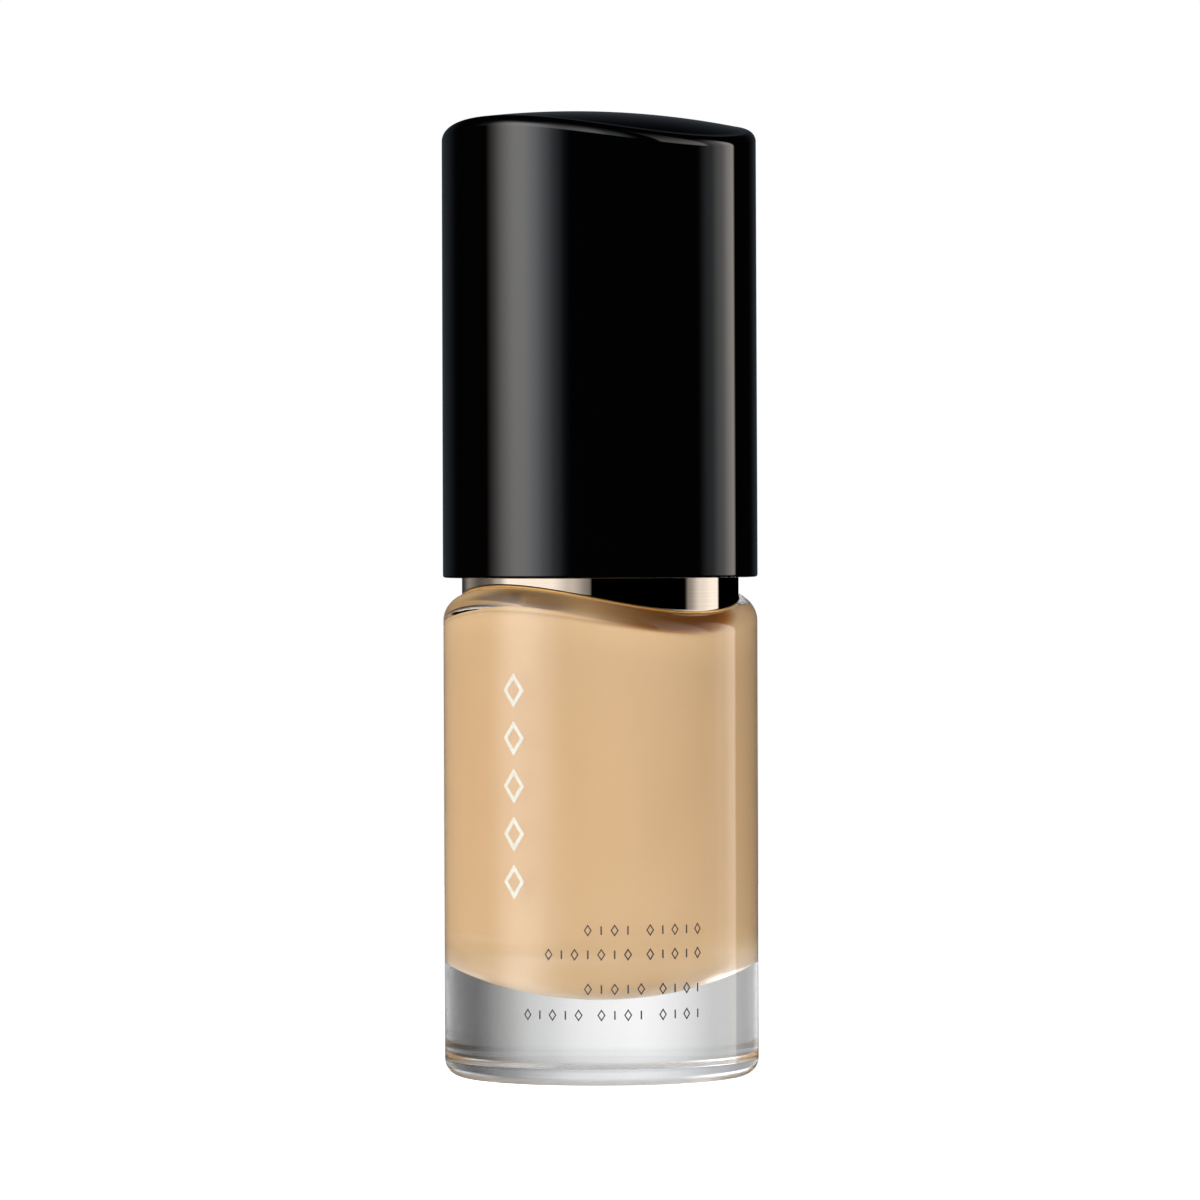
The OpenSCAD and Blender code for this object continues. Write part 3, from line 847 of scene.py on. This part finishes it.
cutter = piece("spout_hole", drill, shiny)
hole = button.modifiers.new("spout_hole", "BOOLEAN")
hole.object = cutter
hole.solver = "EXACT"
bpy.context.view_layer.update()
drilled = bpy.data.meshes.new_from_object(button.evaluated_get(bpy.context.evaluated_depsgraph_get()))
button.modifiers.clear()
button.data = drilled
bpy.data.objects.remove(cutter)
drilled.shade_smooth()
drilled.set_sharp_from_angle(angle=SHARP_FROM)
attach(button, "pump_head")
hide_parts("head_shell")


def lying(bm):
    """Lays a turned shape along +X at the nozzle's height."""
    bmesh.ops.rotate(bm, verts=bm.verts, cent=(0, 0, 0), matrix=Matrix.Rotation(pi / 2, 3, "Y"))
    bmesh.ops.translate(bm, verts=bm.verts, vec=(0, 0, nozzle_z * MM))
    return bm


def block(bm, low, high, turn=0.0):
    """Adds a block between two corners in millimetres, turned about the axis."""
    low, high = Vector(low) * MM, Vector(high) * MM
    place = Matrix.Rotation(turn, 4, "Z") @ Matrix.Translation((low + high) / 2)
    bmesh.ops.create_cube(bm, size=1, matrix=place @ Matrix.Diagonal((*(high - low), 1)))


channel_r = 1.2
frame_r = head_r - head_wall - 0.1
spout_start = 2.5
hub_r = 4.0
hub_bore = 2.2
hub_low = 76.5
plate_low = 90.1
plate_high = plate_low + 1
rib_half = 0.4
rib_low = hub_low + 5
spout_outline = [
    (channel_r, spout_start, 0.0),
    (spout_r, spout_start, 0.0),
    *line((spout_r, spout_start + 0.5, 0.0), (spout_r, spout_end - 0.1, 0.0), 6),
    (spout_r - 0.1, spout_end, 0.0),
    (channel_r, spout_end, 0.0),
]
hub_outline = [
    (hub_bore, hub_low, 0.0),
    (hub_r, hub_low, 0.0),
    (hub_r, plate_low, 0.0),
    (frame_r, plate_low, 0.0),
    (frame_r, plate_high, 0.0),
    (hub_bore, plate_high, 0.0),
]
bm = turned(hub_outline, closed=True, steps=128)
added(bm, lying(turned(spout_outline, closed=True, steps=96)))
for k in range(4):
    rib = (hub_r - 0.4, -rib_half, rib_low), (frame_r - 0.1, rib_half, plate_low + 0.1)
    block(bm, *rib, turn=pi / 4 + k * pi / 2)
spout = piece("spout_frame", bm, satin)
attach(spout, "pump_head")
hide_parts("head_core")

tip_bore = 0.6
tip_plug = 1.8
tip_r = 1.45
tip_edge = 0.15
tip_outline = [
    (tip_bore, spout_end - tip_plug, 0.0),
    (channel_r, spout_end - tip_plug, 0.0),
    (channel_r, spout_end + 0.02, 0.0),
    (spout_r - 0.1, spout_end + 0.02, 0.0),
    (spout_r - 0.02, spout_end + 0.15, 0.0),
    (tip_r + 0.17, nozzle_end - tip_edge, 0.0),
    (tip_r, nozzle_end, 0.0),
    (tip_bore + tip_edge, nozzle_end, 0.0),
    (tip_bore, nozzle_end - tip_edge, 0.0),
]
tip = piece("nozzle_end", lying(turned(tip_outline, closed=True, steps=96)), shiny)
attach(tip, "pump_head")
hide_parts("nozzle_tip")

# The cap: a tall moulded shell, lacquered deep black and polished. Its crowned top repeats the
# shoulder's wave round its edge.
cap_low, cap_high = (Vector(corner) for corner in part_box("cap_shell"))
cap_r = cap_high.x / MM
cap_z = cap_low.z / MM
cap_top_r = cap_r - 0.05
cap_wall = 110.0
cap_wave = 1.23
cap_round = 1.25
cap_crown = 2.2
cap_rim = 0.3
cap_bore = 17.35
cap_ceiling = 107.0
peg_r = 2.9
peg_low = cap_ceiling - 5.2
inner = cap_top_r - cap_round
crown_steps = 24
crown = [inner * (1 - k / crown_steps) for k in range(1, crown_steps + 1)]
shell_outline = [
    *arc(cap_r - cap_rim, cap_z + cap_rim, cap_rim, -90, 0, 6),
    *line((cap_r, cap_z + cap_rim, 0.0), (cap_top_r, cap_wall, cap_wave), 40)[1:],
    *arc(inner, cap_wall, cap_round, 0, 90, 10, cap_wave),
    *[
        (r, cap_wall + cap_round + cap_crown * (1 - (r / inner) ** 2), cap_wave * (r / inner) ** 2)
        for r in crown
    ],
]
hollow_outline = [
    (0, peg_low, 0.0),
    (peg_r, peg_low, 0.0),
    (peg_r, cap_ceiling, 0.0),
    (cap_bore, cap_ceiling, 0.0),
    (cap_bore, cap_z + 0.25, 0.0),
    (cap_bore + 0.25, cap_z, 0.0),
]
black = (0.0006, 0.0006, 0.0008, 1)
lacquer, tree, shader = principled("black_lacquer", Base_Color=black, Roughness=0.0, IOR=1.5)
cap = piece("cap_outer", turned(hollow_outline + shell_outline), lacquer)
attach(cap, "cap")
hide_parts("cap_shell")

# The cap's inner cup: its mouth slides over the collar and two ribs take the collar's lug. Six
# ribs centre it in the shell. Above it a zinc-plated steel disc gives the cap its weight.
liner_low, liner_high = (Vector(corner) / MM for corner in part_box("cap_liner"))
mouth_r = collar_r + 0.12
wide_r = liner_high.x
narrow_r = 15.6
liner_r = narrow_r + 0.8
liner_step = collar_top + 0.1
flange_top = liner_step + 1.1
liner_roof = liner_high.z - 1
foot_round = 0.25
roof_round = 0.6
spacer_low = (16.0, -0.5, 70.3)
spacer_high = (17.1, 0.5, 100.6)
key_from_middle = 2.3
key_half = 0.4
key_low = (12.6, 69.4)
key_high = (16.0, 77.4)
cup_outline = [
    (0, liner_high.z, 0.0),
    (liner_r - 0.5, liner_high.z, 0.0),
    (liner_r, liner_high.z - 0.5, 0.0),
    (liner_r, flange_top, 0.0),
    (wide_r, flange_top, 0.0),
    (wide_r, liner_low.z + foot_round, 0.0),
    *arc(wide_r - foot_round, liner_low.z + foot_round, foot_round, 0, -90, 4),
    (mouth_r + 0.3, liner_low.z, 0.0),
    (mouth_r, liner_low.z + 0.3, 0.0),
    (mouth_r, liner_step, 0.0),
    (narrow_r + 0.1, liner_step, 0.0),
    (narrow_r, liner_step + 0.1, 0.0),
    (narrow_r, liner_roof - roof_round, 0.0),
    *arc(narrow_r - roof_round, liner_roof - roof_round, roof_round, 0, 90, 5),
    (0, liner_roof, 0.0),
]
bm = turned(cup_outline, steps=192)
for k in range(6):
    block(bm, spacer_low, spacer_high, turn=radians(15 + 60 * k))
for side in (-1, 1):
    key_x = side * key_from_middle
    block(bm, (key_x - key_half, *key_low), (key_x + key_half, *key_high))
cup = piece("cap_cup", bm, satin)
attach(cup, "cap")
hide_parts("cap_liner")

zinc, tree, shader = principled("weight_steel", Metallic=1.0)
cells = node(tree, "ShaderNodeTexVoronoi", {"Vector": object_place(tree), "Scale": 420.0})
crystals = cells.outputs["Distance"]
spangle = ramp(tree, crystals, [(0.1, (0.42, 0.42, 0.44)), (0.7, (0.58, 0.58, 0.59))])
tree.links.new(spangle, shader.inputs["Base Color"])
tree.links.new(calc(tree, "MULTIPLY_ADD", crystals, 0.25, 0.3), shader.inputs["Roughness"])
paint(zinc, "cap_weight")
